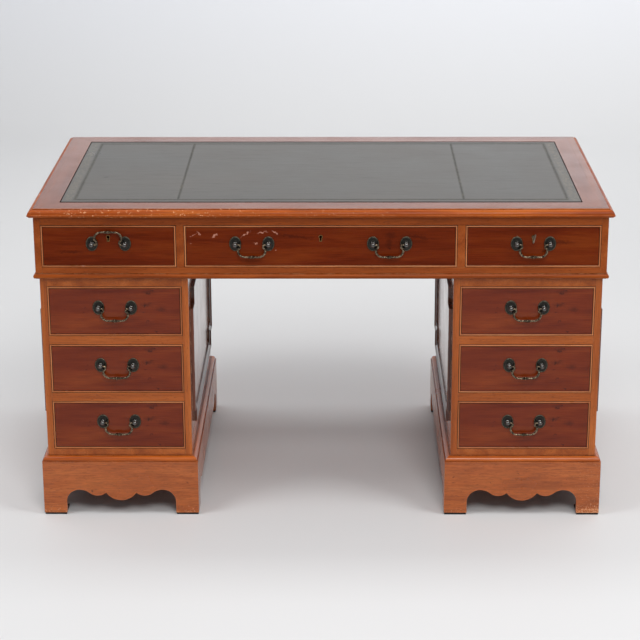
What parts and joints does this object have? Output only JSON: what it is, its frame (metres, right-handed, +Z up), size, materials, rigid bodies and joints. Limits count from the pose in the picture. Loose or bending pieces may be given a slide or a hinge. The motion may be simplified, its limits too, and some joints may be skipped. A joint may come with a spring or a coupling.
{
  "type": "partners desk",
  "caption": "Wooden partners desk: leather-lined writing top over frieze drawers, on two pedestals with drawers in front and cupboards behind.",
  "frame": {"origin": "on the floor under the centre of the desk's carcase", "axes": "+X to the right as seen from the drawer side, +Y to the cupboard side, +Z up"},
  "size_m": [1.372, 0.7783, 0.775],
  "materials": {
    "mahogany": "french polished",
    "moulded_mahogany": "french polished",
    "drawer_mahogany": "french polished",
    "oak": "planed, unfinished",
    "leather": "worn skiver with gilt tooling",
    "brass": "dark aged lacquer",
    "steel": "aged",
    "pad": "black felt"
  },
  "bodies": {
    "desk": {"top_board": "moulded_mahogany", "top_edge_moulding": "moulded_mahogany", "writing_leather": "leather", "frieze_carcase": "mahogany", "frieze_base_moulding": "moulded_mahogany", "locating_blocks": "oak", "drawer_runners": "oak", "foot_pads": "pad", "panel_mouldings": "mahogany", "left_pedestal_carcase": "mahogany", "right_pedestal_carcase": "mahogany", "left_plinth": "mahogany", "right_plinth": "mahogany", "door_jamb_hinges": "brass"},
    "front_left_drawer": {"front_left_drawer": "drawer_mahogany", "front_left_drawer_fittings": "brass"},
    "front_left_drawer_bail": {"front_left_drawer_bail": "brass"},
    "front_centre_drawer": {"front_centre_drawer": "drawer_mahogany", "front_centre_drawer_fittings": "brass"},
    "front_centre_drawer_left_bail": {"front_centre_drawer_left_bail": "brass"},
    "front_centre_drawer_right_bail": {"front_centre_drawer_right_bail": "brass"},
    "front_right_drawer": {"front_right_drawer": "drawer_mahogany", "front_right_drawer_fittings": "brass"},
    "front_right_drawer_bail": {"front_right_drawer_bail": "brass"},
    "rear_left_drawer": {"rear_left_drawer": "drawer_mahogany", "rear_left_drawer_fittings": "brass"},
    "rear_left_drawer_bail": {"rear_left_drawer_bail": "brass"},
    "rear_centre_drawer": {"rear_centre_drawer": "drawer_mahogany", "rear_centre_drawer_fittings": "brass"},
    "rear_centre_drawer_left_bail": {"rear_centre_drawer_left_bail": "brass"},
    "rear_centre_drawer_right_bail": {"rear_centre_drawer_right_bail": "brass"},
    "rear_right_drawer": {"rear_right_drawer": "drawer_mahogany", "rear_right_drawer_fittings": "brass"},
    "rear_right_drawer_bail": {"rear_right_drawer_bail": "brass"},
    "left_top_drawer": {"left_top_drawer": "drawer_mahogany", "left_top_drawer_fittings": "brass"},
    "left_top_drawer_bail": {"left_top_drawer_bail": "brass"},
    "left_middle_drawer": {"left_middle_drawer": "drawer_mahogany", "left_middle_drawer_fittings": "brass"},
    "left_middle_drawer_bail": {"left_middle_drawer_bail": "brass"},
    "left_bottom_drawer": {"left_bottom_drawer": "drawer_mahogany", "left_bottom_drawer_fittings": "brass"},
    "left_bottom_drawer_bail": {"left_bottom_drawer_bail": "brass"},
    "right_top_drawer": {"right_top_drawer": "drawer_mahogany", "right_top_drawer_fittings": "brass"},
    "right_top_drawer_bail": {"right_top_drawer_bail": "brass"},
    "right_middle_drawer": {"right_middle_drawer": "drawer_mahogany", "right_middle_drawer_fittings": "brass"},
    "right_middle_drawer_bail": {"right_middle_drawer_bail": "brass"},
    "right_bottom_drawer": {"right_bottom_drawer": "drawer_mahogany", "right_bottom_drawer_fittings": "brass"},
    "right_bottom_drawer_bail": {"right_bottom_drawer_bail": "brass"},
    "left_door": {"left_door": "mahogany", "left_door_fittings": "brass"},
    "right_door": {"right_door": "mahogany", "right_door_fittings": "brass"},
    "drawer_key": {"drawer_key": "steel"},
    "lock_bolt": {"lock_bolt": "steel"}
  },
  "joints": [
    {"name": "front_left_drawer_slide", "type": "slide", "parent": "desk", "child": "front_left_drawer", "axis": [0, -1, 0], "range_m": [0, 0.26]},
    {"name": "front_left_drawer_bail_swing", "type": "hinge", "parent": "front_left_drawer", "child": "front_left_drawer_bail", "pos_m": [-0.49825, -0.379, 0.69], "axis": [-1, 0, 0], "range_deg": [-198, 0]},
    {"name": "front_centre_drawer_slide", "type": "slide", "parent": "desk", "child": "front_centre_drawer", "axis": [0, -1, 0], "range_m": [0, 0.26]},
    {"name": "front_centre_drawer_left_bail_swing", "type": "hinge", "parent": "front_centre_drawer", "child": "front_centre_drawer_left_bail", "pos_m": [-0.1615, -0.379, 0.69], "axis": [-1, 0, 0], "range_deg": [-10, 188]},
    {"name": "front_centre_drawer_right_bail_swing", "type": "hinge", "parent": "front_centre_drawer", "child": "front_centre_drawer_right_bail", "pos_m": [0.1615, -0.379, 0.69], "axis": [-1, 0, 0], "range_deg": [-10, 188]},
    {"name": "front_right_drawer_slide", "type": "slide", "parent": "desk", "child": "front_right_drawer", "axis": [0, -1, 0], "range_m": [0, 0.26]},
    {"name": "front_right_drawer_bail_swing", "type": "hinge", "parent": "front_right_drawer", "child": "front_right_drawer_bail", "pos_m": [0.49825, -0.379, 0.69], "axis": [-1, 0, 0], "range_deg": [-10, 125]},
    {"name": "rear_left_drawer_slide", "type": "slide", "parent": "desk", "child": "rear_left_drawer", "axis": [0, 1, 0], "range_m": [0, 0.26]},
    {"name": "rear_left_drawer_bail_swing", "type": "hinge", "parent": "rear_left_drawer", "child": "rear_left_drawer_bail", "pos_m": [-0.49825, 0.379, 0.69], "axis": [1, 0, 0], "range_deg": [-10, 188]},
    {"name": "rear_centre_drawer_slide", "type": "slide", "parent": "desk", "child": "rear_centre_drawer", "axis": [0, 1, 0], "range_m": [0, 0.26]},
    {"name": "rear_centre_drawer_left_bail_swing", "type": "hinge", "parent": "rear_centre_drawer", "child": "rear_centre_drawer_left_bail", "pos_m": [0.1615, 0.379, 0.69], "axis": [1, 0, 0], "range_deg": [-10, 188]},
    {"name": "rear_centre_drawer_right_bail_swing", "type": "hinge", "parent": "rear_centre_drawer", "child": "rear_centre_drawer_right_bail", "pos_m": [-0.1615, 0.379, 0.69], "axis": [1, 0, 0], "range_deg": [-10, 188]},
    {"name": "rear_right_drawer_slide", "type": "slide", "parent": "desk", "child": "rear_right_drawer", "axis": [0, 1, 0], "range_m": [0, 0.26]},
    {"name": "rear_right_drawer_bail_swing", "type": "hinge", "parent": "rear_right_drawer", "child": "rear_right_drawer_bail", "pos_m": [0.49825, 0.379, 0.69], "axis": [1, 0, 0], "range_deg": [-10, 188]},
    {"name": "left_top_drawer_slide", "type": "slide", "parent": "desk", "child": "left_top_drawer", "axis": [0, -1, 0], "range_m": [0, 0.3]},
    {"name": "left_top_drawer_bail_swing", "type": "hinge", "parent": "left_top_drawer", "child": "left_top_drawer_bail", "pos_m": [-0.48975, -0.3715, 0.53], "axis": [-1, 0, 0], "range_deg": [-10, 188]},
    {"name": "left_middle_drawer_slide", "type": "slide", "parent": "desk", "child": "left_middle_drawer", "axis": [0, -1, 0], "range_m": [0, 0.3]},
    {"name": "left_middle_drawer_bail_swing", "type": "hinge", "parent": "left_middle_drawer", "child": "left_middle_drawer_bail", "pos_m": [-0.48975, -0.3715, 0.385], "axis": [-1, 0, 0], "range_deg": [-10, 188]},
    {"name": "left_bottom_drawer_slide", "type": "slide", "parent": "desk", "child": "left_bottom_drawer", "axis": [0, -1, 0], "range_m": [0, 0.3]},
    {"name": "left_bottom_drawer_bail_swing", "type": "hinge", "parent": "left_bottom_drawer", "child": "left_bottom_drawer_bail", "pos_m": [-0.48975, -0.3715, 0.24], "axis": [-1, 0, 0], "range_deg": [-10, 188]},
    {"name": "right_top_drawer_slide", "type": "slide", "parent": "desk", "child": "right_top_drawer", "axis": [0, -1, 0], "range_m": [0, 0.3]},
    {"name": "right_top_drawer_bail_swing", "type": "hinge", "parent": "right_top_drawer", "child": "right_top_drawer_bail", "pos_m": [0.48975, -0.3715, 0.53], "axis": [-1, 0, 0], "range_deg": [-10, 188]},
    {"name": "right_middle_drawer_slide", "type": "slide", "parent": "desk", "child": "right_middle_drawer", "axis": [0, -1, 0], "range_m": [0, 0.3]},
    {"name": "right_middle_drawer_bail_swing", "type": "hinge", "parent": "right_middle_drawer", "child": "right_middle_drawer_bail", "pos_m": [0.48975, -0.3715, 0.385], "axis": [-1, 0, 0], "range_deg": [-10, 188]},
    {"name": "right_bottom_drawer_slide", "type": "slide", "parent": "desk", "child": "right_bottom_drawer", "axis": [0, -1, 0], "range_m": [0, 0.3]},
    {"name": "right_bottom_drawer_bail_swing", "type": "hinge", "parent": "right_bottom_drawer", "child": "right_bottom_drawer_bail", "pos_m": [0.48975, -0.3715, 0.24], "axis": [-1, 0, 0], "range_deg": [-10, 188]},
    {"name": "left_door_swing", "type": "hinge", "parent": "desk", "child": "left_door", "pos_m": [-0.6482, 0.3647, 0.3755], "axis": [0, 0, 1], "range_deg": [0, 100]},
    {"name": "right_door_swing", "type": "hinge", "parent": "desk", "child": "right_door", "pos_m": [0.6482, 0.3647, 0.3755], "axis": [0, 0, -1], "range_deg": [0, 100]},
    {"name": "key_turn", "type": "hinge", "parent": "front_right_drawer", "child": "drawer_key", "pos_m": [0.49825, -0.368, 0.7065], "axis": [0, 1, 0], "range_deg": [0, 180]},
    {"name": "lock_bolt_slide", "type": "slide", "parent": "front_right_drawer", "child": "lock_bolt", "axis": [0, 0, 1], "range_m": [0, 0.006]}
  ],
  "couplings": [
    {"joint": "lock_bolt_slide", "follows": "key_turn", "m_per_rad": 0.0019098}
  ]
}
